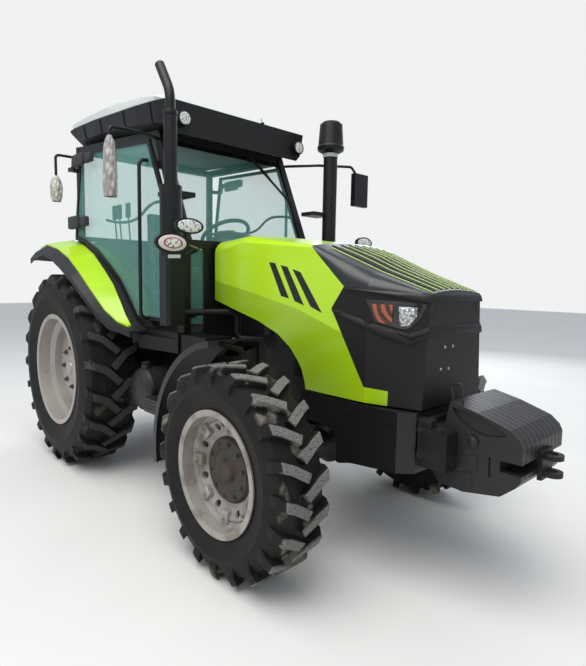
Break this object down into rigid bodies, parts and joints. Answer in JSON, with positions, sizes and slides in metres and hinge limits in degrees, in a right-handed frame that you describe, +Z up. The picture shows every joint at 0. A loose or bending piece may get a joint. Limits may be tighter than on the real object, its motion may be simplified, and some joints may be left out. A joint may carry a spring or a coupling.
{
  "type": "farm tractor",
  "caption": "Four-wheel-drive farm tractor with a closed glass cab, tilting hood, front weights, steered front wheels and a rear three-point linkage.",
  "frame": {"origin": "on the ground below the centre of the tractor's box", "axes": "+X forward, towards the hood; +Y the driver's left; +Z up"},
  "size_m": [4.6799, 2.256, 2.935],
  "materials": {
    "lime_paint": "gloss",
    "dark_cover": "satin",
    "cab_black": "satin",
    "cast_dark": "matte paint over castings",
    "link_steel": "satin",
    "bright_steel": "machined",
    "rim_paint": "satin",
    "tyre_rubber": "worn rubber",
    "tinted_glass": "tinted",
    "lamp_lens": "clear lens",
    "pale_cap": "satin",
    "trim_plastic": "matte",
    "seat_cloth": "cloth",
    "wrap_film": "loose film"
  },
  "bodies": {
    "chassis": {"front_support": "cast_dark", "lower_cover": "dark_cover", "engine": "cast_dark", "radiator": "link_steel", "gearbox": "cast_dark", "hitch_frame": "cast_dark", "front_axle": "cast_dark", "steering_cylinder": "link_steel", "weight_carrier": "cast_dark", "front_weights": "cast_dark", "tow_clevis": "cast_dark", "fuel_tank": "dark_cover", "steps": "cab_black", "exhaust": "link_steel", "air_intake": "dark_cover", "cab_frame": "cab_black", "cab_roof": "dark_cover", "roof_cap": "pale_cap", "windscreen": "tinted_glass", "cab_windows": "tinted_glass", "controls": "trim_plastic", "seat": "seat_cloth", "fenders": "dark_cover", "fender_panels": "lime_paint", "mirror_left": "cab_black", "mirror_arms_right": "cab_black", "mirror_wraps": "wrap_film", "work_lamps": "lamp_lens"},
    "hood": {"hood": "lime_paint", "nose": "dark_cover", "headlamps": "lamp_lens"},
    "door_right": {"door_frame_right": "cab_black", "door_glass_right": "tinted_glass"},
    "door_left": {"door_frame_left": "cab_black", "door_glass_left": "tinted_glass"},
    "knuckle_right": {"knuckle_right": "cast_dark", "mudguard_right": "dark_cover"},
    "knuckle_left": {"knuckle_left": "cast_dark", "mudguard_left": "dark_cover"},
    "front_wheel_right": {"front_tyre_right": "tyre_rubber", "front_rim_right": "rim_paint", "front_hub_right": "cast_dark"},
    "front_wheel_left": {"front_tyre_left": "tyre_rubber", "front_rim_left": "rim_paint", "front_hub_left": "cast_dark"},
    "rear_wheel_right": {"rear_tyre_right": "tyre_rubber", "rear_rim_right": "rim_paint"},
    "rear_wheel_left": {"rear_tyre_left": "tyre_rubber", "rear_rim_left": "rim_paint"},
    "steering_rod": {"steering_rod": "bright_steel"},
    "lower_links": {"lower_links": "link_steel"},
    "lift_arms": {"lift_arms": "link_steel"},
    "lift_rods": {"lift_rods": "link_steel"},
    "pto_shaft": {"pto_shaft": "bright_steel"}
  },
  "joints": [
    {"name": "hood_hinge", "type": "hinge", "parent": "chassis", "child": "hood", "pos_m": [0.125, 0, 1.792], "axis": [0, -1, 0], "range_deg": [0, 50]},
    {"name": "door_right_hinge", "type": "hinge", "parent": "chassis", "child": "door_right", "pos_m": [-1.425, -0.752, 2.3], "axis": [-0.1736, 0, -0.9848], "range_deg": [0, 75]},
    {"name": "door_left_hinge", "type": "hinge", "parent": "chassis", "child": "door_left", "pos_m": [-1.425, 0.752, 2.3], "axis": [0.1736, 0, 0.9848], "range_deg": [0, 75]},
    {"name": "steer_right", "type": "hinge", "parent": "chassis", "child": "knuckle_right", "pos_m": [1.02, -0.665, 0.56], "axis": [0, 0, 1], "range_deg": [-32, 32]},
    {"name": "steer_left", "type": "hinge", "parent": "chassis", "child": "knuckle_left", "pos_m": [1.02, 0.665, 0.56], "axis": [0, 0, 1], "range_deg": [-32, 32]},
    {"name": "steering_rod_slide", "type": "slide", "parent": "chassis", "child": "steering_rod", "axis": [0, 1, 0], "range_m": [-0.14, 0.14]},
    {"name": "front_wheel_right_spin", "type": "hinge", "parent": "knuckle_right", "child": "front_wheel_right", "pos_m": [1.02, -0.85, 0.56], "axis": [0, 1, 0], "continuous": true},
    {"name": "front_wheel_left_spin", "type": "hinge", "parent": "knuckle_left", "child": "front_wheel_left", "pos_m": [1.02, 0.85, 0.56], "axis": [0, 1, 0], "continuous": true},
    {"name": "rear_wheel_right_spin", "type": "hinge", "parent": "chassis", "child": "rear_wheel_right", "pos_m": [-1.3, -0.793, 0.785], "axis": [0, 1, 0], "continuous": true},
    {"name": "rear_wheel_left_spin", "type": "hinge", "parent": "chassis", "child": "rear_wheel_left", "pos_m": [-1.3, 0.793, 0.785], "axis": [0, 1, 0], "continuous": true},
    {"name": "lower_links_lift", "type": "hinge", "parent": "chassis", "child": "lower_links", "pos_m": [-1.57, 0, 0.5], "axis": [0, 1, 0], "range_deg": [-22, 38]},
    {"name": "lift_arms_turn", "type": "hinge", "parent": "chassis", "child": "lift_arms", "pos_m": [-1.66, 0, 1.02], "axis": [0, 1, 0], "range_deg": [-22, 38]},
    {"name": "lift_rods_turn", "type": "hinge", "parent": "lift_arms", "child": "lift_rods", "pos_m": [-2, 0, 1.02], "axis": [0, 1, 0], "range_deg": [-38, 22]},
    {"name": "pto_spin", "type": "hinge", "parent": "chassis", "child": "pto_shaft", "pos_m": [-1.64, 0, 0.64], "axis": [1, 0, 0], "continuous": true}
  ],
  "couplings": [
    {"joint": "steer_left", "follows": "steer_right", "ratio": 1},
    {"joint": "steering_rod_slide", "follows": "steer_right", "m_per_rad": -0.238},
    {"joint": "lift_arms_turn", "follows": "lower_links_lift", "ratio": 1},
    {"joint": "lift_rods_turn", "follows": "lower_links_lift", "ratio": -1}
  ]
}
